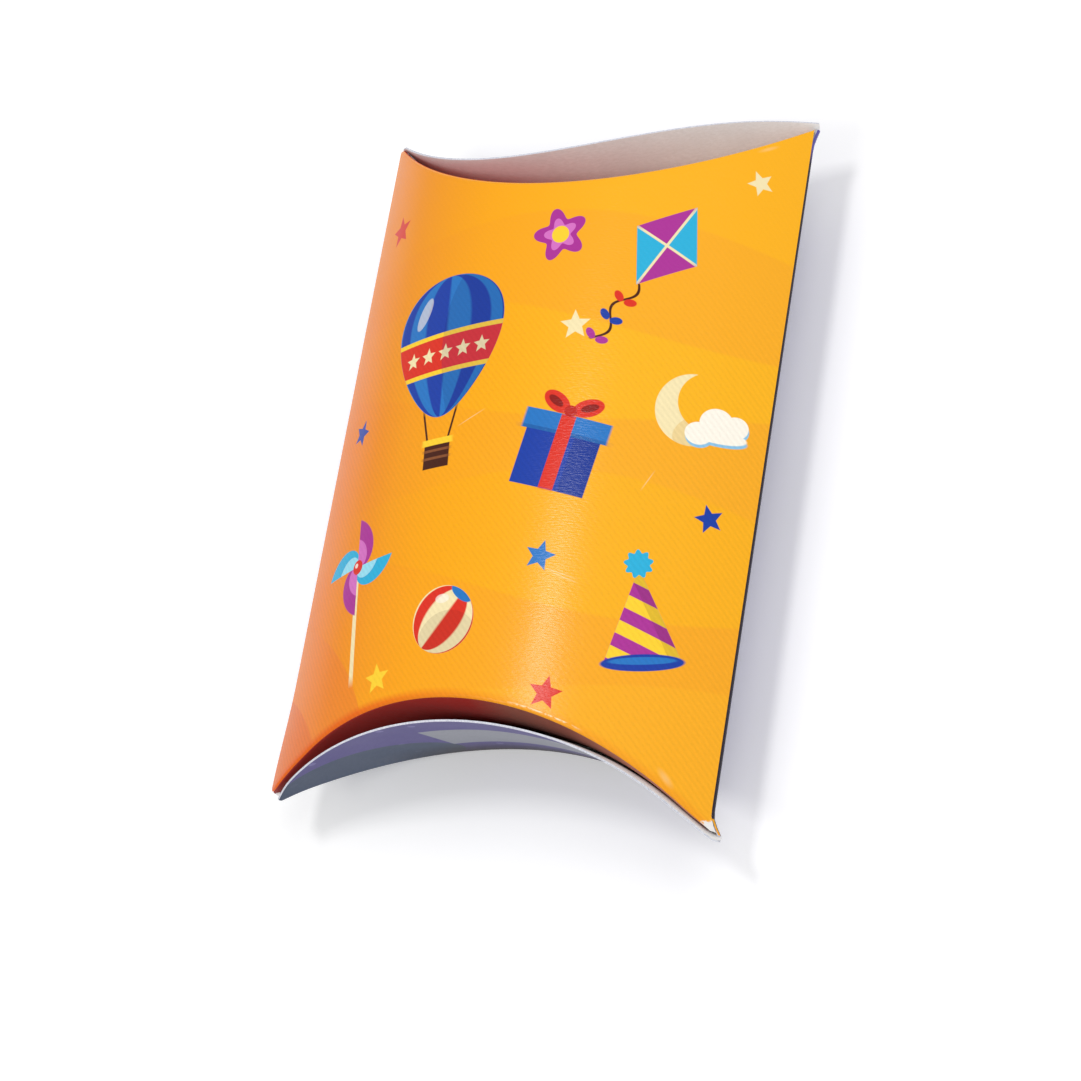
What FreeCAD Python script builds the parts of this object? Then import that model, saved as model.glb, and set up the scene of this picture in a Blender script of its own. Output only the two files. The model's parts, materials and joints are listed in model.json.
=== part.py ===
# Pillow box: a scored paperboard blank, glued along one side and closed by curved flaps.
# X is the width, Y the length towards the top end, Z the thickness, with the back panel below.
# The origin is under the middle of the box, on the surface that it lies on.
import FreeCAD, Part
import math
import os
from FreeCAD import Vector

os.makedirs("parts", exist_ok=True)

# Driving dimensions, in millimetres and degrees
length = 160.0           # from the corners at one end to the corners at the other
width = 105.0            # between the two long side folds
rise = 20.5              # crown of each panel above the plane of the four corners
board = 0.6              # thickness of the paperboard
fold_radius = 0.3        # inside radius of the two long side folds
flap_gap = 0.3           # room between a tucked flap and the cover flap that closes over it
hinge_gap = 0.15         # room between a panel's end and the crease of its flap
top_spring = 12.0        # angle that the cover flap springs open by at the top end
bottom_spring = 6.0      # the same at the bottom end
tuck_depth = 27.0        # depth of a tucked flap at its middle
tab_width = 12.0         # glue tab, from its fold to its cut edge
tab_end_gap = 1.5        # room between the ends of the glue tab and the tucked flaps
seam_setback = 1.0       # from the front panel's glued edge to the start of the right fold
glue_thickness = 0.1     # adhesive between the tab and the front panel
glue_width = 8.0         # width of the line of adhesive
glue_end_gap = 4.0       # how far the adhesive stops short of the tab's ends


def arch_radius(chord, sagitta):
    """Radius of the arc that rises by its sagitta over a chord."""
    return (chord ** 2 / 4 + sagitta ** 2) / (2 * sagitta)


# Worked out from the driving dimensions
crown_radius = arch_radius(width, rise)
centre_drop = crown_radius - rise            # from the plane of the corners to a panel's axis
fold_mid = fold_radius + board / 2
tab_radius = crown_radius - board - glue_thickness
tuck_inset = board + flap_gap                # how much further in the front panel's creases lie
lying_height = rise + board / 2              # the plane of the corners above the surface
overrun = rise + board                       # spare length that the end cuts take off

# Centre of the left fold, which the two panels run into
left_x = math.sqrt((crown_radius - fold_mid) ** 2 - centre_drop ** 2)
left_angle = math.atan2(left_x, centre_drop)

# Centre of the right fold, which the back panel and the thinner arc of the tab run into
back_reach = crown_radius - fold_mid
tab_reach = tab_radius - fold_mid
right_z = (tab_reach ** 2 - back_reach ** 2) / (4 * centre_drop)
right_x = math.sqrt(back_reach ** 2 - (centre_drop - right_z) ** 2)
back_angle = math.atan2(right_x, centre_drop - right_z)
tab_angle = math.atan2(right_x, centre_drop + right_z)


def bent_strip(centre_x, centre_z, radius, start, end, thickness=board):
    """A strip bent about a line along Y, between two angles from +Z towards +X."""
    inner = radius - thickness / 2
    outer = radius + thickness / 2
    middle = (start + end) / 2
    y = -length / 2 - overrun

    def spot(reach, angle):
        return Vector(centre_x + reach * math.sin(angle), y, centre_z + reach * math.cos(angle))

    edges = [
        Part.Arc(spot(outer, start), spot(outer, middle), spot(outer, end)).toShape(),
        Part.makeLine(spot(outer, end), spot(inner, end)),
        Part.Arc(spot(inner, end), spot(inner, middle), spot(inner, start)).toShape(),
        Part.makeLine(spot(inner, start), spot(outer, start)),
    ]
    return Part.Face(Part.Wire(edges)).extrude(Vector(0, length + 2 * overrun, 0))


def end_prism(end, radius, centre_z):
    """A cylinder along Y from the middle of the box out past one end."""
    return Part.makeCylinder(radius, length / 2 + overrun, Vector(0, 0, centre_z), Vector(0, end, 0))


class FlapBend:
    """The round that a flap bends to: a cylinder through two corners and the middle of a crease."""

    def __init__(self, end, spring, inset):
        tilt = math.radians(spring)
        self.ruling = Vector(0, end * math.sin(tilt), math.cos(tilt))
        sagitta = rise * (math.cos(tilt) - math.sin(tilt))
        self.radius = arch_radius(width, sagitta)
        outward = Vector(0, end * math.cos(tilt), -math.sin(tilt))
        self.axis_point = Vector(0, end * (length / 2 - inset), 0) + outward * (self.radius - sagitta)

    def cylinder(self, radius):
        reach = 4 * rise + width
        return Part.makeCylinder(radius, reach, self.axis_point - self.ruling * (reach / 2), self.ruling)

    def inside(self, room):
        """All that lies beyond the flap's inner face, grown by some room."""
        return self.cylinder(self.radius + board / 2 + room)

    def sheet(self):
        """The board of the flap, before its edges are cut."""
        return self.cylinder(self.radius + board / 2).cut(self.cylinder(self.radius - board / 2))


def half_space_below(end, slope):
    """What lies under a plane through the front panel's two corners at one end."""
    size = 4 * width
    block = Part.makeBox(size, size, size, Vector(-size / 2, -size / 2, -size))
    block.rotate(Vector(0, 0, 0), Vector(1, 0, 0), end * math.degrees(math.atan(slope)))
    block.translate(Vector(0, end * (length / 2 - tuck_inset), 0))
    return block


def write_node(name, shape):
    """Lift a piece to its place above the surface and save it."""
    placed = shape.copy()
    placed.translate(Vector(0, 0, lying_height))
    placed.exportStep("parts/" + name + ".step")


# The two bowed panels, before their ends are cut
front_angle = tab_angle - seam_setback / crown_radius
front_strip = bent_strip(0, -centre_drop, crown_radius, -left_angle, front_angle)
back_strip = bent_strip(0, centre_drop, crown_radius, math.pi - back_angle, math.pi + left_angle)

# The long folds, the tab and its adhesive, before their ends are cut
left_fold = bent_strip(-left_x, 0, fold_mid, -left_angle, left_angle - math.pi)
right_fold = bent_strip(right_x, right_z, fold_mid, tab_angle, math.pi - back_angle)
glue_tab = bent_strip(0, -centre_drop, tab_radius, tab_angle - tab_width / tab_radius, tab_angle)
glue_radius = crown_radius - (board + glue_thickness) / 2
glue_middle = tab_angle - (tab_width / 2 + seam_setback / 2) / tab_radius
glue_half = glue_width / 2 / glue_radius
glue_line = bent_strip(0, -centre_drop, glue_radius, glue_middle - glue_half, glue_middle + glue_half,
                       glue_thickness)

front_panel = front_strip
back_panel = back_strip
for name, end, spring in (("top", 1, top_spring), ("bottom", -1, bottom_spring)):
    tuck = FlapBend(end, 0.0, tuck_inset)
    cover = FlapBend(end, spring, 0.0)

    # Curved ends of the panels and of what joins them
    front_panel = front_panel.cut(tuck.inside(hinge_gap))
    back_panel = back_panel.cut(cover.inside(hinge_gap))
    left_fold = left_fold.cut(tuck.inside(hinge_gap)).cut(cover.inside(hinge_gap))
    right_fold = right_fold.cut(tuck.inside(hinge_gap)).cut(cover.inside(hinge_gap))
    glue_tab = glue_tab.cut(tuck.inside(tab_end_gap))
    glue_line = glue_line.cut(tuck.inside(tab_end_gap + glue_end_gap))

    # Tucked flap: hangs from the front panel's crease and stops short of the back panel
    tuck_sheet = tuck.sheet()
    below_front = end_prism(end, crown_radius - board / 2, -centre_drop)
    clear_of_back = end_prism(end, crown_radius - board / 2 - hinge_gap, centre_drop)
    tuck_flap = tuck_sheet.common(below_front).common(clear_of_back)
    tuck_flap = tuck_flap.cut(half_space_below(end, (tuck_depth - rise) / rise))
    write_node(name + "_tuck_flap", tuck_flap)
    write_node(name + "_tuck_crease", tuck_sheet.common(front_strip))

    # Cover flap: stands on the back panel's crease, with a free edge as round as the crease
    cover_sheet = cover.sheet()
    edge_rise = rise * (2 * math.cos(math.radians(spring)) - 1)
    edge_radius = arch_radius(width, edge_rise)
    above_back = end_prism(end, crown_radius - board / 2, centre_drop)
    under_edge = end_prism(end, edge_radius, edge_rise - edge_radius)
    write_node(name + "_cover_flap", cover_sheet.common(above_back).common(under_edge))
    write_node(name + "_cover_crease", cover_sheet.common(back_strip))

write_node("front_panel", front_panel)
write_node("back_panel", back_panel)
write_node("left_fold", left_fold)
write_node("right_fold", right_fold)
write_node("glue_tab", glue_tab)
write_node("glue_line", glue_line)
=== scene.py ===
"""Pillow box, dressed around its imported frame: printed, varnished and scored paperboard."""
import json
import math
from functools import partial

import bmesh
import bpy
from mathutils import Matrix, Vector


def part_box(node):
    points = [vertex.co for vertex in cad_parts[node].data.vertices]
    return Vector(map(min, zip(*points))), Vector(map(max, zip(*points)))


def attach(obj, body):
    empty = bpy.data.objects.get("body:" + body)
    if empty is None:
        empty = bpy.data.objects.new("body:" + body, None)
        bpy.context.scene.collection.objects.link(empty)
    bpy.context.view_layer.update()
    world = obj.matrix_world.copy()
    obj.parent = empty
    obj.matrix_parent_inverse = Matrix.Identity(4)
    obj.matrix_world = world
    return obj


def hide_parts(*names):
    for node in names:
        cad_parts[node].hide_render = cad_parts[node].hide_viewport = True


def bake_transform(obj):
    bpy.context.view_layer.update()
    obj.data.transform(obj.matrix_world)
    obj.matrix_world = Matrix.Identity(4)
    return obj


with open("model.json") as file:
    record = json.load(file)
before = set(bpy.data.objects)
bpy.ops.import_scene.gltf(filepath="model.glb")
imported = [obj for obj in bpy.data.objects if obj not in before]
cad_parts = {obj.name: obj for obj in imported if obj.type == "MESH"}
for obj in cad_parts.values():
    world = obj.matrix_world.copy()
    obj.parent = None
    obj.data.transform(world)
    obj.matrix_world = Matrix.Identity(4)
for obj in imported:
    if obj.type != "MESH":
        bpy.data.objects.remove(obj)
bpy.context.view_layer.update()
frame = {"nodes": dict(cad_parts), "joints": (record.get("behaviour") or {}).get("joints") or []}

# Front panel: the bowed side that faces up, one area of a die-cut blank of white folding board.
# It is printed orange and varnished, bends in an arc from the left fold to its glued right edge,
# and runs over a rounded score into a flap at each end.
MM = 0.001
board = 0.6                                    # thickness of the paperboard, in mm as all sizes here
cut_edge = 0.45                                # what the die's knife leaves of it along a cut
score_radius = 1.1                             # outside of the rounded score at the panel's ends
left_corner_radius = {1: 1.4, -1: 2.2}         # die-cut rounding of the left corners, top and bottom
worn_corner_radius = 0.8                       # bottom right corner, worn short by handling
panel_columns, panel_rows = 96, 96
score_rows = 4                                 # rows of the panel's mesh that lie on each rounded score
score_turn = math.radians(51)                  # how far round it the panel's own print goes
seam_lift = {1: 0.7, -1: 0.49}                 # how far the glued edge reaches towards the right fold

# Handling: what it has done to the corners, and between which places on the box the pull grows to its full size
corner_zone = (74.5, 82)                       # along the box from its middle
side_zone = 44                                 # across it, from here to the side
front_right_pull = 2.7                         # bottom right corner, pulled outwards
front_left_pull, front_left_zone, front_left_side = 1.0, (52, 79), -40   # bottom left, from well up its side
corner_droop = 0.9                             # bottom right corner, bent over the lip of the cover flap
droop_across, droop_along = (48.5, 51.5), (76, 79)


def frame_mm(name):
    """The lowest and highest corners of a node of the frame, in millimetres."""
    low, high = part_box(name)
    return low / MM, high / MM


front_low, front_high = frame_mm("front_panel")
left_fold_low, _ = frame_mm("left_fold")
hinge = {joint["name"]: Vector(joint["pos_m"]) / MM for joint in frame["joints"]}

mid_z = front_high.z / 2                       # plane of the box's four corners
half_width = -left_fold_low.x
rise = mid_z - board / 2
crown_radius = (half_width ** 2 + rise ** 2) / (2 * rise)
centre_drop = crown_radius - rise              # from the plane of the corners to the bend's axis
face_radius = crown_radius + board / 2         # bend of the printed face
inner_radius = crown_radius - board / 2


def lerp(start, end, share):
    return start + (end - start) * share


def smooth_step(start, end, value):
    share = min(max((value - start) / (end - start), 0), 1)
    return share * share * (3 - 2 * share)


def corner_round(distance, radius):
    """How much a rounded corner takes off, by the distance from the edge."""
    missing = max(radius - max(distance, 0), 0)
    return radius - math.sqrt(radius ** 2 - missing ** 2)


def crease_flare(x):
    """How far a curved end score runs outwards from its middle."""
    return inner_radius - math.sqrt(inner_radius ** 2 - x ** 2)


def front_reach(x, end):
    """Distance from the middle of the box to the front panel's end score."""
    crown = hinge["top_tuck_hinge"].y if end > 0 else -hinge["bottom_tuck_hinge"].y
    worn = corner_round(front_high.x - x, worn_corner_radius) if end < 0 else 0
    return crown + crease_flare(x) - corner_round(x + half_width, left_corner_radius[end]) - worn


def front_pull(x, y):
    """How far handling has pulled the front's two bottom corners out, the left one from well up its side."""
    right = front_right_pull * smooth_step(*corner_zone, -y) * smooth_step(side_zone, half_width, x)
    left = front_left_pull * smooth_step(*front_left_zone, -y) * smooth_step(front_left_side, -half_width, x)
    return right - left


def place_front(a, b):
    """Bends a point of the flat panel, given from -1 to 1 across and along it."""
    left = math.asin(front_low.x / face_radius)
    right = math.asin((front_high.x + lerp(seam_lift[-1], seam_lift[1], (b + 1) / 2)) / face_radius)
    angle = lerp(left, right, (a + 1) / 2)
    x = face_radius * math.sin(angle)
    top = mid_z - centre_drop + face_radius * math.cos(angle)
    flat_share = 1 - 2 * score_rows / panel_rows
    share = min(max(b / flat_share, -1), 1)
    straight = lerp(score_radius - front_reach(x, -1), front_reach(x, 1) - score_radius, (share + 1) / 2)
    turn = score_turn * max(abs(b) - flat_share, 0) / (1 - flat_share)
    end = math.copysign(1, b)
    y = straight + end * score_radius * math.sin(turn)
    y -= corner_droop * smooth_step(*droop_across, x) * smooth_step(*droop_along, -y)
    z = top - score_radius * (1 - math.cos(turn))
    return Vector((x + front_pull(x, y), y, z)), (face_radius * angle, straight + end * score_radius * turn)


def board_sheet(name, columns, rows, place, materials, turned=False):
    """A flat piece of the blank, bent to its place. The board's thickness is added under its print after
    the flaps have moved, and takes the next two materials for the inside and the cut edge."""
    sheet = bmesh.new()
    bmesh.ops.create_grid(sheet, x_segments=columns, y_segments=rows, size=1)
    print_mm = sheet.loops.layers.uv.new("print_mm")
    for vert in sheet.verts:
        spot, flat = place(vert.co.x, vert.co.y)
        vert.co = spot
        for loop in vert.link_loops:
            loop[print_mm].uv = flat
    if turned:
        bmesh.ops.reverse_faces(sheet, faces=sheet.faces[:])
    for face in sheet.faces:
        face.smooth = True
    for edge in sheet.edges:
        edge.smooth = not edge.is_boundary
    bmesh.ops.scale(sheet, vec=(MM, MM, MM), verts=sheet.verts)
    mesh = bpy.data.meshes.new(name)
    sheet.to_mesh(mesh)
    sheet.free()
    for material in materials:
        mesh.materials.append(material)
    piece = bpy.data.objects.new(name, mesh)
    bpy.context.scene.collection.objects.link(piece)
    thickness = piece.modifiers.new("board_thickness", "SOLIDIFY")
    thickness.thickness = cut_edge * MM
    thickness.offset = -1
    thickness.material_offset = 1
    thickness.material_offset_rim = 2
    return piece


def linear(hex_colour):
    """An sRGB hex colour as a linear RGBA value."""
    channels = [int(hex_colour[i:i + 2], 16) / 255 for i in (1, 3, 5)]
    return (*[c / 12.92 if c <= 0.04045 else ((c + 0.055) / 1.055) ** 2.4 for c in channels], 1)


def node(tree, kind, *inputs, **settings):
    """Adds a shader node with its settings, and fills or links its inputs in order."""
    made = tree.nodes.new("ShaderNode" + kind)
    for name, value in settings.items():
        setattr(made, name, value)
    for socket, value in zip([s for s in made.inputs if s.enabled], inputs):
        if isinstance(value, bpy.types.NodeSocket):
            tree.links.new(value, socket)
        elif value is not None:
            socket.default_value = value
    return next(s for s in made.outputs if s.enabled)


def start_finish(name, like=None):
    """A new material, or a copy of one, with the function that adds its nodes and the shader that they feed."""
    finish = like.copy() if like else bpy.data.materials.new(name)
    finish.name = name
    finish.use_nodes = True
    return finish, partial(node, finish.node_tree), finish.node_tree.nodes["Principled BSDF"]


def feed(shader, **looks):
    """Links what has been drawn to the shader's sockets of the same names."""
    for name, drawn in looks.items():
        shader.id_data.links.new(drawn, shader.inputs[name.replace("_", " ").title()])


def sheet_place():
    """Millimetre coordinates on the flat blank: across it, along it, and both together."""
    across = draw("SeparateXYZ", draw("UVMap", uv_map="print_mm"))
    along = across.node.outputs["Y"]
    return across, along, draw("CombineXYZ", across, along)


# Offset-printed folding boxboard under a satin varnish: flat saturated inks, a fine line screen that shows
# as faint slanting runs, a soft highlight that is broken into level flecks, and a few hairline scuffs.
ink_edge = 0.07                                # half the width over which an ink's edge fades
royal_blue, mid_blue, navy, cyan = "#1F41A6", "#2B78C4", "#0E1F66", "#2FB2DC"
magenta, pink, red, brown, tan = "#AE3598", "#D873C4", "#DF3424", "#4A2216", "#8A5230"
cream, yellow, white = "#F7E6B4", "#FFD335", "#FFF8EA"
varnish_ior = 1.5

front_print, draw, shader = start_finish("coated_paperboard_front_print")
across, along, flat_mm = sheet_place()
paint = [linear("#FEB521")]


def ink(mask, colour, strength=1.0):
    """Prints a colour over what the sheet has so far."""
    if strength < 1:
        mask = draw("Math", mask, strength, operation="MULTIPLY")
    paint[0] = draw("MixRGB", mask, paint[0], linear(colour))


def both(mask, other):
    """The part of the sheet that two masks share."""
    return draw("Math", mask, other, operation="MULTIPLY")


def motif_place(at, x, y, turn=0.0):
    """Millimetre coordinates about the middle of a motif, turned with it."""
    spot = draw("VectorMath", at, (x, y, 0), operation="SUBTRACT")
    if turn:
        spot = draw("VectorRotate", spot, (0, 0, 0), -math.radians(turn), rotation_type="Z_AXIS")
    return spot


def half_shares(at, x, y, width, height, turn):
    """The same as shares of half a shape's width and height."""
    spot = motif_place(at, x, y, turn)
    return draw("VectorMath", spot, (width / 2, height / 2, 1), operation="DIVIDE")


def disc(at, x, y, width, height, turn=0.0):
    """Mask of a printed ellipse."""
    distance = draw("VectorMath", half_shares(at, x, y, width, height, turn), operation="LENGTH")
    soft = 2 * ink_edge / min(width, height)
    return draw("MapRange", distance, 1 + soft, 1 - soft)


def bar(at, x, y, width, height, turn=0.0):
    """Mask of a printed rectangle."""
    shares = half_shares(at, x, y, width, height, turn)
    sides = draw("SeparateXYZ", draw("VectorMath", shares, operation="ABSOLUTE"))
    soft = 2 * ink_edge / min(width, height)
    return draw("MapRange", draw("Math", sides, sides.node.outputs["Y"], operation="MAXIMUM"), 1 + soft, 1 - soft)


def wheel_place(at, x, y, size, turn=0.0):
    """Distance from a middle, as a share of half the size, and the angle round it from straight up."""
    shares = half_shares(at, x, y, size, size, turn)
    sides = draw("SeparateXYZ", shares)
    angle = draw("Math", sides, sides.node.outputs["Y"], operation="ARCTAN2")
    return draw("VectorMath", shares, operation="LENGTH"), angle


def star(at, x, y, size, turn=0.0):
    """Mask of a five-pointed star, whose points are as long as its body is wide."""
    valley = 0.45                              # distance of the inner corners, with the points at 1
    slope = Vector((valley * math.cos(math.pi / 5) - 1, valley * math.sin(math.pi / 5)))
    facing = math.atan2(-slope.x, slope.y)
    edge = math.cos(facing)
    distance, angle = wheel_place(at, x, y, size, turn)
    fold = draw("Math", angle, math.pi / 5, operation="PINGPONG")
    side = draw("Math", draw("Math", fold, facing, operation="SUBTRACT"), operation="COSINE")
    soft = 2 * ink_edge / size
    return draw("MapRange", draw("Math", distance, side, operation="MULTIPLY"), edge + soft, edge - soft)


def gores(at, width, height, count):
    """Mask of every other strip of a round striped thing, narrowing towards its poles."""
    sides = draw("SeparateXYZ", at)
    up = sides.node.outputs["Y"]
    square = draw("Math", up, up, operation="MULTIPLY")
    room = draw("Math", square, -4 / height ** 2, 1.0, operation="MULTIPLY_ADD")
    girth = draw("Math", draw("Math", room, 0.001, operation="MAXIMUM"), operation="SQRT")
    share = draw("Math", draw("Math", sides, 2 / width, operation="MULTIPLY"), girth, operation="DIVIDE")
    strips = draw("Math", draw("Math", share, operation="ARCSINE"), count, operation="MULTIPLY")
    return draw("MapRange", draw("Math", strips, operation="SINE"), -0.2, 0.2)


def wave_below(middle, height, spacing, start, soft=0.35):
    """Mask of the sheet below a long wave across it."""
    phase = draw("Math", across, 2 * math.pi / spacing, start, operation="MULTIPLY_ADD")
    swell = draw("Math", draw("Math", phase, operation="SINE"), height, middle, operation="MULTIPLY_ADD")
    return draw("MapRange", draw("Math", along, swell, operation="SUBTRACT"), soft, -soft)


def above_score(middle):
    """Distance on the flat sheet from a curved bottom score, given the place of its middle."""
    bend = draw("Math", draw("Math", across, 1 / face_radius, operation="MULTIPLY"), operation="COSINE")
    line = draw("Math", bend, -inner_radius, inner_radius - middle, operation="MULTIPLY_ADD")
    return draw("Math", along, line, operation="ADD")


# Ground: orange with broad tonal waves, redder towards the left side and its lower corner
for middle, height, spacing, start, colour in (
        (47, 5.0, 165, 1.2, "#FBAF26"), (27, 4.5, 150, 2.6, "#FDB720"), (9, 5.0, 170, 4.3, "#FAAE26"),
        (-12, 4.5, 140, 0.7, "#FCB31F"), (-33, 5.5, 150, 3.4, "#FAAB25"), (-54, 4.0, 160, 5.4, "#FCB025")):
    ink(wave_below(middle, height, spacing, start), colour)
ink(draw("MapRange", across, 16.0, -14.0), "#FCA206", 0.58)
ink(draw("MapRange", across, -14.0, -54.0), "#EE741A", 0.62)
ink(both(draw("MapRange", across, -28.0, -52.0), draw("MapRange", along, 44.0, 4.0)), "#EE7212", 0.4)
ink(disc(flat_mm, -60, -72, 78, 62, -18), "#F08426", 0.75)
ink(disc(flat_mm, -66, -84, 62, 56, -12), "#E66E24", 0.65)

# Painted shade: the orange is drawn deeper along the bottom score, most of all on its left half, where the rounding
# turns from the light and shows no sheen
from_score = above_score(hinge["bottom_tuck_hinge"].y + score_radius)
score_shade = draw("MapRange", from_score, 1.3, -0.2)
ink(both(score_shade, draw("MapRange", across, 12.0, -24.0, 0.2, 0.85)), "#EA6614")

# Balloon: a striped envelope with a band round it, two ropes and a basket
at = motif_place(flat_mm, -20, 21, 7)
sides = draw("SeparateXYZ", at)
taper = draw("Math", sides.node.outputs["Y"], 0.021, 1.0, operation="MULTIPLY_ADD")
even = draw("CombineXYZ", draw("Math", sides, taper, operation="DIVIDE"), sides.node.outputs["Y"], 0.0)
envelope = disc(even, 0, 0, 29, 34)
for lean in (-1, 1):
    ink(bar(at, lean * 3.6, -19.5, 0.55, 9, lean * -14), brown)
ink(envelope, royal_blue)
ink(both(envelope, gores(even, 29, 34, 7)), mid_blue)
ink(both(envelope, bar(at, 0, -1.5, 40, 8)), red)
for height in (3.0, -6.0):
    ink(both(envelope, bar(at, 0, height, 40, 1.1)), yellow)
for aside in (-10, -5, 0, 5, 10):
    ink(star(at, aside, -1.5, 4.2), cream)
ink(both(envelope, disc(even, 9, 0, 20, 42)), navy, 0.22)
ink(disc(at, -7.5, 9.5, 3.2, 8, -28), white, 0.45)
ink(bar(at, 0, -26, 7, 6), brown)
for height in (-26.6, -24.8):
    ink(bar(at, 0, height, 7, 0.6), tan)
ink(bar(at, 0, -22.8, 8.4, 1.5), yellow)

# Kite: a diamond in two colours on crossed spars, with bows along its tail
at = motif_place(flat_mm, 29, 45, -28)
sides = draw("SeparateXYZ", at)
apart = draw("SeparateXYZ", draw("VectorMath", at, operation="ABSOLUTE"))
slant = draw("Math", apart.node.outputs["Y"], 1 / 11, operation="MULTIPLY")
kite = draw("MapRange", draw("Math", apart, 1 / 8, slant, operation="MULTIPLY_ADD"), 1.01, 0.99)
quarter = draw("Math", sides, sides.node.outputs["Y"], operation="MULTIPLY")
swing = draw("Math", draw("Math", sides.node.outputs["Y"], 0.62, operation="MULTIPLY"), operation="SINE")
string = draw("Math", draw("Math", swing, 1.5, sides, operation="MULTIPLY_ADD"), operation="ABSOLUTE")
ink(both(draw("MapRange", string, 0.4, 0.26), bar(at, 0, -18.5, 8, 16)), brown)
ink(kite, magenta)
ink(both(kite, draw("MapRange", quarter, -0.15, 0.15)), cyan)
ink(both(kite, bar(at, 0, 0, 0.55, 22)), cream)
ink(both(kite, bar(at, 0, 0, 16, 0.55)), cream)
for drop, colour in ((-15.2, red), (-20.2, royal_blue), (-25.4, magenta)):
    aside = -1.5 * math.sin(0.62 * drop)
    for lean in (-1, 1):
        ink(disc(at, aside + lean * 1.5, drop, 2.9, 1.7, lean * 24), colour)

# Crescent moon behind a small cloud
at = motif_place(flat_mm, 40, 9, 18)
moon = draw("Math", disc(at, 0, 0, 16, 16), disc(at, 3.6, 1.2, 13, 13), operation="SUBTRACT", use_clamp=True)
ink(moon, cream)
ink(both(moon, disc(at, 2.2, -5.5, 15, 9)), "#E9C77E", 0.6)
for colour, drop in (("#8FC6E8", -0.7), (white, 0.0)):
    for x, y, width, height in ((0.4, -5.2, 6, 5), (4.6, -3.6, 7.4, 6.6), (8.6, -5.0, 5.6, 4.8),
                                (4.4, -6.4, 12.6, 3.2)):
        ink(disc(at, x, y + drop, width, height, -18), colour)

# Gift: a box and lid tied with a ribbon and a bow
at = motif_place(flat_mm, 13, -3, -9)
ink(bar(at, 0, -3, 17, 13), royal_blue)
ink(bar(at, 5.6, -3, 5.8, 13), navy, 0.35)
ink(bar(at, 0, 5.2, 19.6, 4.6), mid_blue)
ink(bar(at, 0, 3.3, 19.6, 0.8), navy, 0.35)
ink(bar(at, 0, -1.0, 3.3, 17), red)
for lean in (-1, 1):
    ink(disc(at, lean * 3.6, 9.9, 7, 4, lean * 26), red)
    ink(disc(at, lean * 3.9, 10.0, 4, 1.7, lean * 26), "#8E1A14")
ink(disc(at, 0, 8.4, 2.9, 2.6), "#C0261B")

# Pinwheel: four folded blades on a stick
at = motif_place(flat_mm, -36, -29, 12)
ink(bar(at, 0, -14, 1.3, 26), cream)
for size, colours in ((23, (magenta, cyan)), (13.5, (pink, "#9BE0F2"))):
    distance, angle = wheel_place(at, 0, 0, size)
    share = draw("Math", draw("Math", angle, 2 / math.pi, operation="MULTIPLY"), operation="FRACT")
    limit = draw("Math", share, -0.74, 1.0, operation="MULTIPLY_ADD")
    blades = draw("MapRange", draw("Math", distance, limit, operation="DIVIDE"), 1.015, 0.985)
    pair = draw("Math", draw("Math", angle, 1 / math.pi, operation="MULTIPLY"), operation="FRACT")
    ink(blades, colours[0])
    ink(both(blades, draw("Math", pair, 0.5, operation="GREATER_THAN")), colours[1])
ink(disc(at, 0, 0, 3.4, 3.4), red)
ink(disc(at, -0.5, 0.5, 1.1, 1.1), white, 0.8)

# Party hat: a striped cone with a band and a pompom
at = motif_place(flat_mm, 36, -37, 11)
sides = draw("SeparateXYZ", at)
apart = draw("Math", sides, operation="ABSOLUTE")
half = draw("Math", sides.node.outputs["Y"], -0.41, 4.1, operation="MULTIPLY_ADD")
cone = both(draw("MapRange", draw("Math", apart, half, operation="SUBTRACT"), 0.08, -0.08), bar(at, 0, 0, 30, 20))
stripe = draw("Math", sides, 0.55, sides.node.outputs["Y"], operation="MULTIPLY_ADD")
stripe = draw("Math", draw("Math", stripe, 2 * math.pi / 6.4, operation="MULTIPLY"), operation="SINE")
ink(cone, magenta)
ink(both(cone, draw("MapRange", stripe, -0.08, 0.08)), yellow)
ink(both(cone, bar(at, 6, 0, 8, 22, 22)), brown, 0.25)
ink(disc(at, 0, -10, 17.6, 3.6), royal_blue)
ink(disc(at, 0, -9.6, 14, 1.6), mid_blue)
distance, angle = wheel_place(at, 0, 11, 6.4)
tuft = draw("Math", draw("Math", angle, 9, operation="MULTIPLY"), operation="COSINE")
tuft = draw("Math", tuft, 0.12, 0.86, operation="MULTIPLY_ADD")
ink(draw("MapRange", draw("Math", distance, tuft, operation="DIVIDE"), 1.02, 0.98), cyan)

# Ball: striped from pole to pole
at = motif_place(flat_mm, -7, -42, -32)
ball = disc(at, 0, 0, 15, 15)
ink(ball, cream)
ink(both(ball, gores(at, 15, 15, 5)), red)
ink(both(ball, disc(at, 0, 6.9, 6, 2.6)), mid_blue)
ink(both(ball, disc(at, 4.5, -3.5, 15, 15)), brown, 0.18)
ink(disc(at, -3.2, 3.4, 3.4, 2, 40), white, 0.6)

# Flower: five round petals
at = motif_place(flat_mm, 5, 46)
for size, colour in ((13, magenta), (8, pink)):
    distance, angle = wheel_place(at, 0, 0, size, 20)
    petal = draw("Math", draw("Math", angle, 5, operation="MULTIPLY"), operation="COSINE")
    petal = draw("Math", petal, 0.2, 0.78, operation="MULTIPLY_ADD")
    ink(draw("MapRange", draw("Math", distance, petal, operation="DIVIDE"), 1.015, 0.985), colour)
ink(disc(at, 0, 0, 4, 4), yellow)

# Loose stars between the motifs
for u, v, size, turn, colour in ((-46, 54, 8, 12, red), (-46, 4, 6.5, -16, royal_blue), (12, 25, 7, 8, cream),
                                 (47, -14, 6.5, 20, royal_blue), (13, -27, 7, -10, mid_blue),
                                 (-22, -55, 7, 14, yellow), (19, -56, 7.5, -6, red), (47, 63, 6, 30, cream)):
    ink(star(flat_mm, u, v, size, turn), colour)

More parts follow.
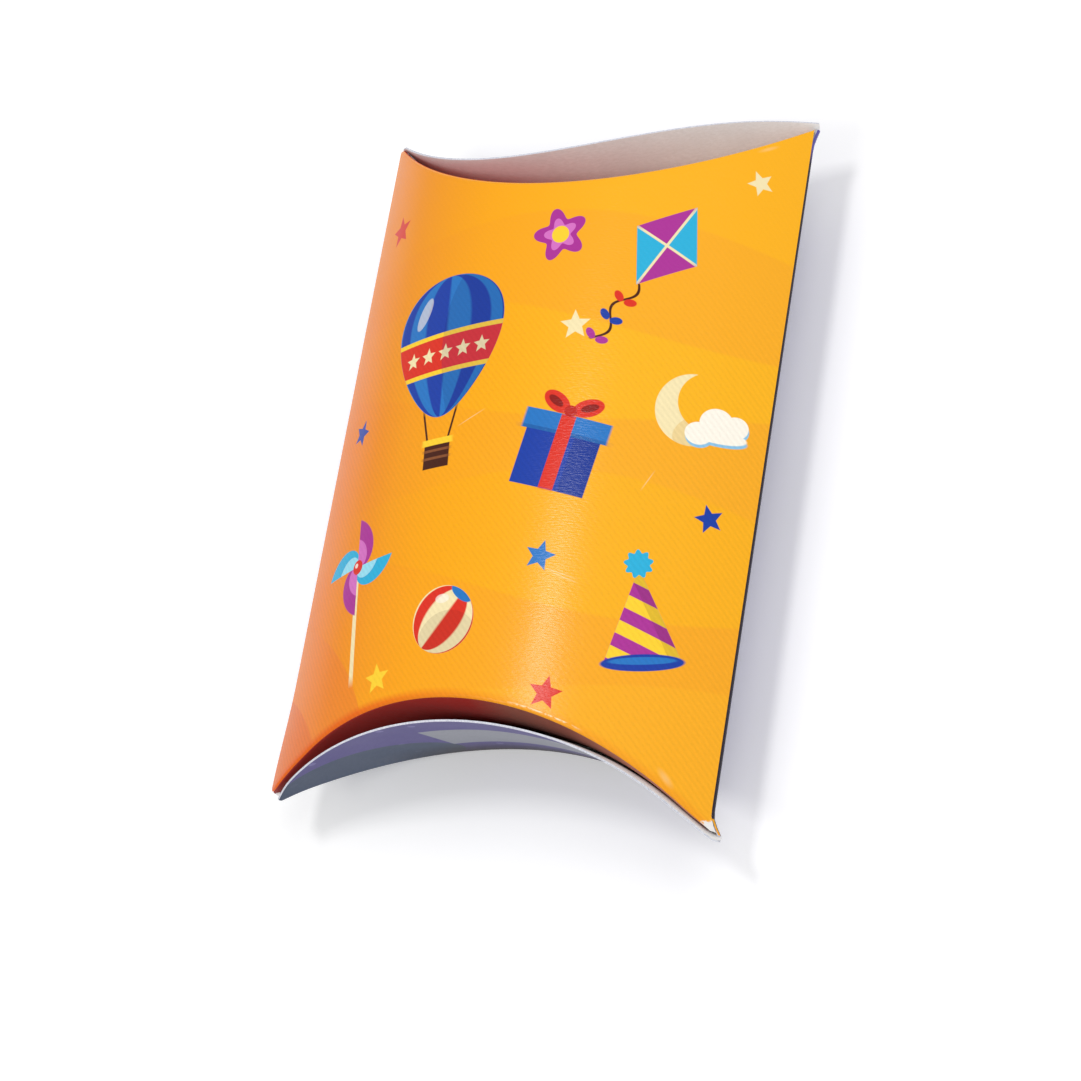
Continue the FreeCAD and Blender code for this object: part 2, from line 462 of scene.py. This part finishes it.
# Screen of the print: lines that slant down to the right at 45 degrees, a touch lighter and darker, broken into
# short runs and fainter towards the top. The real dots are finer, and are drawn as coarse as they need to show.
screen_spacing, run_length = 1.1, 0.9
screen_scale = 2 * math.pi / (10 * math.sqrt(2) * screen_spacing)   # a wave's phase is 10 times its scale
screen = draw("TexWave", flat_mm, screen_scale, 2.0, 2.0, 2.0, 0.6, bands_direction="DIAGONAL")
screen = screen.node.outputs["Fac"]
speckle = draw("TexNoise", flat_mm, 1 / run_length, 2.0, 0.6)
run = draw("MapRange", speckle, 0.38, 0.62, 0.15, 1.0)
lines = draw("Math", draw("Math", screen, -0.5, operation="ADD"), run, operation="MULTIPLY")
crispness = draw("MapRange", along, 18, 48, 0.115, 0.025)
shade = draw("Math", lines, crispness, 0.992, operation="MULTIPLY_ADD")
toned = draw("VectorMath", paint[0], shade, operation="MULTIPLY")

# Hairline scuffs in the varnish, paler than the print
scuff_width = 0.16
scuffs = [bar(flat_mm, u, v, size, scuff_width, turn) for u, v, size, turn in (
    (17.2, -30.2, 5.4, -13), (18.9, -31.2, 3.8, -16), (-9, 3.5, 4.2, 31), (33, -8, 3.0, 64))]
scuffed = scuffs[0]
for scuff in scuffs[1:]:
    scuffed = draw("Math", scuffed, scuff, operation="MAXIMUM")
worn = draw("MixRGB", draw("Math", scuffed, 0.5, operation="MULTIPLY"), toned, linear("#FFE9C4"))

# Painted highlights: two small pale crescents by the right corners, where small dents catch the light
for u, v, width, height, turn in ((46.2, -69.6, 6.4, 2.2, -44), (47.6, 71.4, 6.5, 1.2, 28)):
    distance = draw("VectorMath", half_shares(flat_mm, u, v, width, height, turn), operation="LENGTH")
    dent_highlight = draw("MapRange", distance, 1.0, 0.0, 0.0, 0.36, interpolation_type="SMOOTHSTEP")
    worn = draw("MixRGB", dent_highlight, worn, linear("#FFD9A4"))

# Painted highlight: a short, flecked pale line on the bottom score, right of its middle, where the score's rounding
# catches the light
glint_middle, flake_size = 19.5, 1.1
glint_line = draw("Math", draw("Math", from_score, 0.1, operation="ADD"), operation="ABSOLUTE")
from_middle = draw("Math", draw("Math", across, -glint_middle, operation="ADD"), operation="ABSOLUTE")
flaked = draw("MapRange", draw("TexNoise", flat_mm, 1 / flake_size, 2.0, 0.6), 0.38, 0.58)
score_glint = both(draw("MapRange", glint_line, 0.22, 0.08), draw("MapRange", from_middle, 8.5, 5.5))
score_glint = both(score_glint, flaked)
worn = draw("MixRGB", draw("Math", score_glint, 0.85, operation="MULTIPLY"), worn, linear("#FFEDC2"))

# The bottom right corner has lost its print to handling
corner_u = face_radius * math.asin(front_high.x / face_radius)
from_corner = draw("Math", from_score, draw("Math", corner_u, across, operation="SUBTRACT"), operation="ADD")
chipped = draw("MapRange", draw("Math", flaked, 0.5, from_corner, operation="MULTIPLY_ADD"), 1.1, 0.8)
on_panel = draw("MapRange", across, corner_u + 1.1, corner_u + 0.9)
worn = draw("MixRGB", both(chipped, on_panel), worn, linear("#EFEBE8"))

# Satin varnish: smears of a finger's width change its gloss, and a fine level grain breaks up its highlight
smear_size, grain_size = 22, (1.3, 0.36, 1)
smear = draw("TexNoise", flat_mm, 1 / smear_size, 3.0, 0.6)
grain = draw("TexNoise", draw("VectorMath", flat_mm, grain_size, operation="DIVIDE"), 1.0, 2.0, 0.5)
relief = draw("Math", screen, 0.05, grain, operation="MULTIPLY_ADD")
feed(shader, base_color=worn, roughness=draw("MapRange", smear, 0.3, 0.7, 0.2, 0.26),
     normal=draw("Bump", 0.7, 0.06 * MM, 0.1, relief))
shader.inputs["IOR"].default_value = varnish_ior
shader.inputs["Specular IOR Level"].default_value = 0.2

# Uncoated inside of the board: white pulp with a fine fibre that takes the light softly
white_board, draw, shader = start_finish("folding_boxboard_uncoated_white")
fibre_size, cloud_size = (1.6, 0.35, 0.5), 9
place = draw("TexCoord").node.outputs["Object"]
fibre_place = draw("Mapping", place, (0, 0, 0), (0, 0, math.radians(20)), [1 / (size * MM) for size in fibre_size])
fibre = draw("TexNoise", fibre_place, 1.0, 3.0, 0.6)
cloud = draw("TexNoise", place, 1 / (cloud_size * MM), 2.0, 0.5)
pulp = draw("MixRGB", draw("MapRange", fibre, 0.3, 0.7), linear("#EAE7E5"), linear("#F6F4F3"))
pulp = draw("MixRGB", draw("MapRange", cloud, 0.35, 0.7, 0.0, 0.35), pulp, linear("#E3E0DF"))
feed(shader, base_color=pulp, roughness=draw("MapRange", fibre, 0.3, 0.7, 0.75, 0.9),
     normal=draw("Bump", 0.35, 0.06 * MM, 0.1, fibre))

# Cut edge: the die's knife leaves a rough line of fibres, a little bluer than the inside
cut_board, draw, shader = start_finish("folding_boxboard_cut_edge", white_board)
fuzz_size = 0.45
fuzz = draw("TexNoise", draw("TexCoord").node.outputs["Object"], 1 / (fuzz_size * MM), 3.0, 0.7)
fibres = draw("MixRGB", draw("MapRange", fuzz, 0.3, 0.7), linear("#BFC1CF"), linear("#ECEDF3"))
feed(shader, base_color=fibres, normal=draw("Bump", 0.8, 0.12 * MM, 0.1, fuzz))
bare_board = [white_board, cut_board]

front_panel = board_sheet("printed_front_panel", panel_columns, panel_rows, place_front, [front_print, *bare_board])
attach(front_panel, "shell")
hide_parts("front_panel")

# Back panel: the same bow turned down, printed lilac on its outside, which the box lies on.
# It is one board with the front panel round the left fold, and carries the glue tab on its right.
back_low, back_high = frame_mm("back_panel")
cover_score_radius = 1.0
cover_tilt = {1: (11.4, 10.8, 5.2), -1: (5.5, -2.6, -0.9)}   # degrees open: middle, slope and bow over the width
corner_tilt, corner_tilt_zone = 26, (47.5, 53)     # degrees that the bottom flap's right corner is bent open by
lip_tilt, lip_zone = 2.0, (12, 46)                 # degrees that it is pressed back by where its lip curls
back_corner_radius = {1: 2.8, -1: 1.0}             # die-cut rounding of the left corners
back_right_pull = {1: 1.5, -1: 3.4}                # right corners, pulled outwards by handling
back_left_pull, back_left_zone = 0.9, (74.5, 81)   # bottom left corner, pressed inwards


def tilt_at(x, end):
    """How far the cover flap has sprung open at a place along its score, in radians."""
    middle, slope, bow = cover_tilt[end]
    share = x / half_width
    bent = corner_tilt * smooth_step(*corner_tilt_zone, x) - lip_tilt * smooth_step(*lip_zone, x) if end < 0 else 0
    return math.radians(middle + slope * share + bow * share ** 2 + bent)


def back_reach(x, end):
    """Distance from the middle of the box to the back panel's end score."""
    crown = hinge["top_cover_hinge"].y if end > 0 else -hinge["bottom_cover_hinge"].y
    return crown + crease_flare(x) - corner_round(x + half_width, back_corner_radius[end])


def cover_tangent(x, end):
    """How far before the sharp corner of a cover flap's score its rounding starts."""
    return cover_score_radius * math.tan((math.pi / 2 - tilt_at(x, end)) / 2)


def corner_pull(x, y):
    """How far handling has pulled the back's right corners outwards, and its bottom left corner in."""
    right = sum(pull * smooth_step(*corner_zone, end * y) for end, pull in back_right_pull.items())
    left = back_left_pull * smooth_step(*back_left_zone, -y) * smooth_step(-side_zone, -half_width, x)
    return left + right * smooth_step(side_zone, half_width, x)


def place_back(a, b):
    left = math.asin(back_low.x / face_radius)
    right = math.asin(back_high.x / face_radius)
    angle = lerp(left, right, (a + 1) / 2)
    x = face_radius * math.sin(angle)
    y = lerp(cover_tangent(x, -1) - back_reach(x, -1), back_reach(x, 1) - cover_tangent(x, 1), (b + 1) / 2)
    z = mid_z + centre_drop - face_radius * math.cos(angle)
    return Vector((x + corner_pull(x, y), y, z)), (face_radius * angle, y)


# The same board and varnish with lilac inks: violet waves, small pale stars and dots, and at the
# bottom flap a slate-grey oval at its lower left and a plain pale patch.
back_print, draw, shader = start_finish("coated_paperboard_back_print")
across, along, flat_mm = sheet_place()
paint = [linear("#5B548A")]
for middle, height, spacing, start, colour in (
        (58, 4.0, 150, 0.3, "#524B84"), (34, 5.0, 160, 2.1, "#5F588E"), (10, 5.5, 145, 4.4, "#4E4780"),
        (-16, 5.0, 165, 1.0, "#60598F"), (-42, 5.5, 150, 3.0, "#504982"), (-64, 3.0, 140, 5.0, "#5C558B")):
    ink(wave_below(middle, height, spacing, start), colour)
dot_spacing = 15
dots = draw("TexVoronoi", flat_mm, 1 / dot_spacing, 0.0, 0.5, 2.0, 0.8, voronoi_dimensions="2D")
ink(draw("MapRange", dots, 0.062, 0.052), "#7F78AC", 0.8)
for u, v, size, turn in ((-30, 34, 11, 12), (22, 44, 8, -14), (2, 6, 13, 6), (38, -4, 9, 22), (-38, -14, 9, -8),
                         (-8, -36, 10, 16), (30, -40, 11, -10), (-2, 80, 8, 5), (24, 76, 6, 18), (-26, 78, 6, -12)):
    ink(star(flat_mm, u, v, size, turn), "#8780B4", 0.9)
ink(disc(flat_mm, -42, -70, 56, 31), "#465564", 0.85)
ink(bar(flat_mm, 4, -81, 37, 17), "#9698A2")

# Painted shade: a dark brown-grey band along the middle of the bottom score, for the contact shadow where the box
# rests on the floor
from_score = draw("Math", above_score(hinge["bottom_cover_hinge"].y), operation="ABSOLUTE")
contact_shade_span = draw("MapRange", draw("Math", across, operation="ABSOLUTE"), 34.0, 16.0)
ink(both(draw("MapRange", from_score, 12.0, 1.0), contact_shade_span), "#3A3431", 0.92)

# Varnish over a screen of short slanting streaks, drawn as coarse as they need to show
streak_slant, streak_size = math.radians(33), (0.8, 2.4, 1)
varnish_grain = 0.5


def streaks():
    """The streaks of the screen, between 0 and 1."""
    slanted = draw("Mapping", flat_mm, (0, 0, 0), (0, 0, streak_slant), streak_size, vector_type="TEXTURE")
    return draw("TexNoise", slanted, 1.0, 2.0, 0.6)


screen = streaks()
toned = draw("VectorMath", paint[0], draw("MapRange", screen, 0.3, 0.7, 0.96, 1.035), operation="MULTIPLY")
smear = draw("TexNoise", flat_mm, 1 / smear_size, 3.0, 0.6)
relief = draw("Math", draw("TexNoise", flat_mm, 1 / varnish_grain, 2.0, 0.5), screen, operation="ADD")
feed(shader, base_color=toned, roughness=draw("MapRange", smear, 0.3, 0.7, 0.42, 0.52),
     normal=draw("Bump", 0.25, 0.04 * MM, 0.1, relief))
shader.inputs["IOR"].default_value = varnish_ior
shader.inputs["Specular IOR Level"].default_value = 0.1

back_panel = board_sheet("printed_back_panel", panel_columns, panel_rows, place_back, [back_print, *bare_board],
                         turned=True)
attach(back_panel, "shell")
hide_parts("back_panel")

# Left fold: the long score of the same board between the front and the back, where the two prints meet.
# A rule in the die creases it, and the board turns round it with no cut and no glue.
fold_face = 0.9                                # outside radius of the folded board
fold_columns = 12
second_print = 3                               # place of a fold's other print among its materials


def place_left_fold(a, b):
    start = -math.asin(front_low.x / face_radius)
    turn = lerp(start, math.pi - start, (a + 1) / 2)
    x = left_fold_low.x + fold_face - fold_face * math.sin(turn)
    z = mid_z + fold_face * math.cos(turn)
    ends = []
    for end in (-1, 1):
        front_end = front_reach(front_low.x, end) - score_radius
        back_end = back_reach(back_low.x, end) - cover_tangent(back_low.x, end)
        ends.append(end * lerp(front_end, back_end, (a + 1) / 2))
    y = lerp(*ends, (b + 1) / 2)
    x += lerp(front_pull(x, y), corner_pull(x, y), (a + 1) / 2)
    return Vector((x, y, z)), (-face_radius * start - fold_face * (turn - start), y)


left_fold = board_sheet("scored_left_fold", fold_columns, panel_rows, place_left_fold,
                        [front_print, *bare_board, back_print, *bare_board], turned=True)
for face in left_fold.data.polygons:
    if face.center.z < mid_z * MM:
        face.material_index = second_print
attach(left_fold, "shell")
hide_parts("left_fold")

# Right fold: the long score of the same board between the back panel and the glue tab, creased as the left one.
# The back's ink bleeds over it, painted near black along the side as shade under the front panel's edge, and by the
# worn bottom corner the front's ink does.
right_fold_low, right_fold_high = frame_mm("right_fold")
right_fold_z = (right_fold_low.z + right_fold_high.z) / 2
front_ink_above = right_fold_z + 0.3           # where the front's ink lies on the fold
front_ink_below = -75.5                        # and from where along it to the bottom corner


def place_right_fold(a, b):
    start = math.asin(back_high.x / face_radius)
    turn = lerp(start, math.pi - start, (a + 1) / 2)
    x = right_fold_high.x - fold_face + fold_face * math.sin(turn)
    z = right_fold_z + fold_face * math.cos(turn)
    ends = [end * (back_reach(back_high.x, end) - cover_tangent(back_high.x, end)) for end in (-1, 1)]
    y = lerp(*ends, (b + 1) / 2)
    flat = face_radius * start + fold_face * (math.pi - start - turn)
    return Vector((x + corner_pull(x, y), y, z)), (flat, y)


# Bleed of the back's ink over the fold: violet at the corners, and along the side painted shade, a near-black blue
# violet for the shadow under the front panel's edge, mottled along the score.
fold_print, draw, shader = start_finish("coated_paperboard_fold_bleed_and_shade")
_, along, flat_mm = sheet_place()
fold_mottle_size = (0.5, 2.5, 1)
fold_mottle = draw("TexNoise", draw("VectorMath", flat_mm, fold_mottle_size, operation="DIVIDE"), 1.0, 3.0, 0.6)
corner = draw("MapRange", along, 71.0, 74.5)
painted_fold_shade = draw("MixRGB", draw("MapRange", fold_mottle, 0.35, 0.7), linear("#140C1E"), linear("#231A33"))
ink_bleed_and_shade = draw("MixRGB", corner, painted_fold_shade, linear("#5A52A2"))
feed(shader, base_color=ink_bleed_and_shade, roughness=draw("MapRange", fold_mottle, 0.3, 0.7, 0.5, 0.7),
     normal=draw("Bump", 0.5, 0.08 * MM, 0.1, fold_mottle))

right_fold = board_sheet("scored_right_fold", fold_columns, panel_rows, place_right_fold,
                         [fold_print, *bare_board, front_print, *bare_board])
for face in right_fold.data.polygons:
    if face.center.z > front_ink_above * MM and face.center.y < front_ink_below * MM:
        face.material_index = second_print
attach(right_fold, "shell")
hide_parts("right_fold")

# Glue tab: the strip that turns in under the front panel's edge, white where the glue takes hold,
# with the fold's ink bled over its outer edge and painted near black there as shade. The frame's solid is kept.
bleed_and_shade_edge = (50.3, 50.5)                      # where across the box the ink starts and is full
tab_print, draw, shader = start_finish("folding_boxboard_glue_tab", white_board)
pulp = shader.inputs["Base Color"].links[0].from_socket
side = draw("SeparateXYZ", draw("TexCoord").node.outputs["Object"])
ink_bleed_and_shade = draw("MapRange", side, *[edge * MM for edge in bleed_and_shade_edge])
feed(shader, base_color=draw("MixRGB", ink_bleed_and_shade, pulp, linear("#2C2140")))
tab = frame["nodes"]["glue_tab"]
tab.data.materials.clear()
tab.data.materials.append(tab_print)

# Adhesive: a line of dispersion glue, rolled on the tab and pressed thin under the front panel. It dries to
# a cloudy cream film that is glossier than the board. The frame's solid is kept.
dried_glue, draw, shader = start_finish("dispersion_glue_dried")
glue_cloud_size = 3
cloud = draw("TexNoise", draw("TexCoord").node.outputs["Object"], 1 / (glue_cloud_size * MM), 3.0, 0.6)
film = draw("MixRGB", draw("MapRange", cloud, 0.3, 0.7), linear("#DED8C4"), linear("#F0ECDD"))
feed(shader, base_color=film, roughness=draw("MapRange", cloud, 0.3, 0.7, 0.28, 0.45),
     normal=draw("Bump", 0.4, 0.05 * MM, 0.1, cloud))
shader.inputs["IOR"].default_value = 1.47
glue = frame["nodes"]["glue_line"]
glue.data.materials.clear()
glue.data.materials.append(dried_glue)

# Tucked flaps: the front panel's own flaps, of the same board, folded in first at each end along a curved score.
# The spring of the score bows them out a little. The bottom one is printed red to brown, the top one red to peach.
flap_columns, flap_rows = 80, 30
score_share = 0.1                              # share of a flap's rows that lie on its rounded score
flap_edge = 51.6                               # half the width that a flap's board starts from
least_depth = 0.4                              # what is left of a flap's depth at its corners
top_bow, top_bow_zone = 1.2, (20, 38)          # how far the top flap bows out, and where that fades to the sides
bottom_bow = (0.5, 1.9, 0.45)                  # the bottom flap's bow on its left, in its middle and on its right
bow_left_zone, bow_middle_zone, bow_right_zone = (-38, -20), (-25, 8), (14, 46)
bow_below, bow_slope = 6.5, 0.76               # how deep under the score the bow lies, and its steepest slope
tuck_edge_z = frame_mm("top_tuck_flap")[0].z   # free edge of a tucked flap at its middle


def tuck_bow(x, end):
    """How far the fold's own spring bows a tucked flap out against its cover, and how deep under its score."""
    if end > 0:
        return top_bow * (1 - smooth_step(*top_bow_zone, abs(x))), bow_below
    left, middle, right = bottom_bow
    bow = lerp(left, middle, smooth_step(*bow_middle_zone, x)) * smooth_step(*bow_left_zone, x)
    bow = lerp(bow, right, smooth_step(*bow_right_zone, x))
    return bow, lerp(bow_below, bow * math.e / bow_slope, smooth_step(*bow_middle_zone, x))


def place_tuck(end, a, b):
    angle = a * math.asin(flap_edge / face_radius)
    x = face_radius * math.sin(angle)
    reach = front_reach(x, end)
    top = mid_z - centre_drop + face_radius * math.cos(angle)
    free_edge = mid_z - (mid_z - tuck_edge_z) * (1 - crease_flare(x) / crease_flare(half_width))
    share = (b + 1) / 2
    bow, bow_depth = tuck_bow(x, end)
    turn = lerp(score_turn, math.pi / 2 - math.atan(math.e * bow / bow_depth), min(share / score_share, 1))
    y = reach - score_radius + score_radius * math.sin(turn)
    z = top - score_radius + score_radius * math.cos(turn)
    down = max(share - score_share, 0) / (1 - score_share) * max(top - score_radius - free_edge, least_depth)
    y += bow * down / bow_depth * math.exp(1 - down / bow_depth)
    flat = reach - score_radius + score_radius * turn + down
    return Vector((x + front_pull(x, end * y), end * y, z - down)), (face_radius * angle, end * flat)


# The same board and varnish with deep red ink that turns brown towards the right, and at the top end with
# red-orange that turns peach, all with the slanting streaks of the screen.
tuck_print, draw, shader = start_finish("coated_paperboard_tuck_print")
across, along, flat_mm = sheet_place()
lower = draw("MixRGB", draw("MapRange", across, 2.0, 12.0), linear("#981E17"), linear("#884C3E"))
# Painted light: the bottom flap's ink turns paler at its right end, against the shade in the narrow gap under its
# cover
lower = draw("MixRGB", draw("MapRange", across, 24.0, 44.0), lower, linear("#B97A66"))
upper = draw("MixRGB", draw("MapRange", across, -16.0, 34.0), linear("#E03C12"), linear("#F7CDB2"))
ground = draw("MixRGB", draw("MapRange", along, -5.0, 5.0), lower, upper)
screen = streaks()
toned = draw("VectorMath", ground, draw("MapRange", screen, 0.3, 0.7, 0.95, 1.04), operation="MULTIPLY")
feed(shader, base_color=toned, roughness=draw("MapRange", screen, 0.3, 0.7, 0.4, 0.5),
     normal=draw("Bump", 0.25, 0.04 * MM, 0.1, screen))
shader.inputs["IOR"].default_value = varnish_ior
shader.inputs["Specular IOR Level"].default_value = 0.3

# Cover flaps: the back panel's own flaps, of the same board, folded over the tucked ones along a curved score and
# sprung part open again. The top one is twisted, and the bottom one's lip curls out towards its bent right corner.
cover_score_share = 0.2                        # share of its rows that lie on its rounded score
least_curl = 0.001                             # keeps the curl's radius finite where the lip is straight
lip = 3.2                                      # height of the bottom cover's lip, which curls outwards
lip_curl = math.radians(32)                    # how far it curls by the right corner
cover_rise = {1: frame_mm("top_cover_flap")[1].z - mid_z, -1: frame_mm("bottom_cover_flap")[1].z - mid_z}


def place_cover(end, a, b):
    edge_rise = cover_rise[end]
    edge_radius = (half_width ** 2 + edge_rise ** 2) / (2 * edge_rise)
    angle = a * math.asin(flap_edge / face_radius)
    x = face_radius * math.sin(angle)
    tilt = tilt_at(x, end)
    bottom = mid_z + centre_drop - face_radius * math.cos(angle)
    edge_z = mid_z + edge_rise - edge_radius + math.sqrt(edge_radius ** 2 - x ** 2)
    share = (b + 1) / 2
    start = back_reach(x, end) - cover_tangent(x, end)
    turn = (math.pi / 2 - tilt) * min(share / cover_score_share, 1)
    y = start + cover_score_radius * math.sin(turn)
    z = bottom + cover_score_radius * (1 - math.cos(turn))
    depth = max(edge_z - bottom - cover_tangent(x, end), least_depth)
    up = max(share - cover_score_share, 0) / (1 - cover_score_share) * depth
    flat = start + cover_score_radius * turn + up
    curled = max(up - max(depth - lip, 0), 0)
    bend = max(lip_curl * smooth_step(*lip_zone, x) if end < 0 else 0, least_curl) / lip
    ahead = up - curled + math.sin(bend * curled) / bend
    aside = (1 - math.cos(bend * curled)) / bend
    y += ahead * math.sin(tilt) + aside * math.cos(tilt)
    z += ahead * math.cos(tilt) - aside * math.sin(tilt)
    return Vector((x + corner_pull(x, end * y), end * y, z)), (face_radius * angle, end * flat)


for name, end in (("top", 1), ("bottom", -1)):
    tuck = board_sheet("printed_" + name + "_tuck_flap", flap_columns, flap_rows, partial(place_tuck, end),
                       [tuck_print, *bare_board], turned=end < 0)
    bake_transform(tuck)
    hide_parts(name + "_tuck_flap", name + "_tuck_crease")

    cover = board_sheet("printed_" + name + "_cover_flap", flap_columns, flap_rows, partial(place_cover, end),
                        [back_print, *bare_board], turned=end > 0)
    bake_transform(cover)
    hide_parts(name + "_cover_flap", name + "_cover_crease")

# Stage: a plain white floor, a soft key light from the front left, a small softbox overhead that gives the
# highlight on the varnish, a fill from behind that reaches in under the flaps, and a pale dome.
bpy.ops.mesh.primitive_plane_add(size=6)
floor = bpy.context.object
floor.name = "floor"
floor_paint, draw, shader = start_finish("matt_white_floor")
mottle_size = 50
mottle = draw("TexNoise", draw("TexCoord").node.outputs["Object"], 1 / (mottle_size * MM), 2.0, 0.5)
feed(shader, base_color=draw("MixRGB", mottle, linear("#FAFAFA"), linear("#FDFDFD")))
shader.inputs["Roughness"].default_value = 0.9
shader.inputs["Emission Color"].default_value = (1, 1, 1, 1)
shader.inputs["Emission Strength"].default_value = 0.16
floor.data.materials.append(floor_paint)


def soft_light(name, power, size, spot, aim):
    """A rectangular studio light, turned to what it is aimed at."""
    lamp = bpy.data.lights.new(name, "AREA")
    lamp.energy = power
    lamp.shape = "RECTANGLE"
    lamp.size, lamp.size_y = size
    holder = bpy.data.objects.new(name, lamp)
    holder.location = spot
    holder.rotation_euler = (Vector(aim) - Vector(spot)).to_track_quat("-Z", "Y").to_euler()
    bpy.context.scene.collection.objects.link(holder)
    return holder


soft_light("key_light", 2.05, (0.45, 0.3), (-0.19, -0.47, 0.98), (0, -0.02, 0.03))
soft_light("overhead_softbox", 1.32, (0.10, 0.14), (-0.014, 0.084, 0.80), (0.016, -0.05, 0.04))
flap_fill = soft_light("flap_fill", 2.35, (0.5, 0.5), (0.45, 0.30, 0.9), (0, 0, 0.02))
flap_fill.visible_glossy = False

world = bpy.data.worlds.new("pale_dome")
bpy.context.scene.world = world
world.use_nodes = True
world.node_tree.nodes["Background"].inputs["Color"].default_value = (1, 1, 1, 1)
world.node_tree.nodes["Background"].inputs["Strength"].default_value = 0.5

camera_data = bpy.data.cameras.new("camera")
camera_data.lens = 83.256
camera_data.sensor_width = 36
camera = bpy.data.objects.new("camera", camera_data)
camera.location = (0.24679, -0.16406, 0.48647)
camera.rotation_euler = [math.radians(a) for a in (20.1764, 24.6968, 10.411)]
bpy.context.scene.collection.objects.link(camera)
bpy.context.scene.camera = camera
bpy.context.scene.view_settings.view_transform = "Standard"
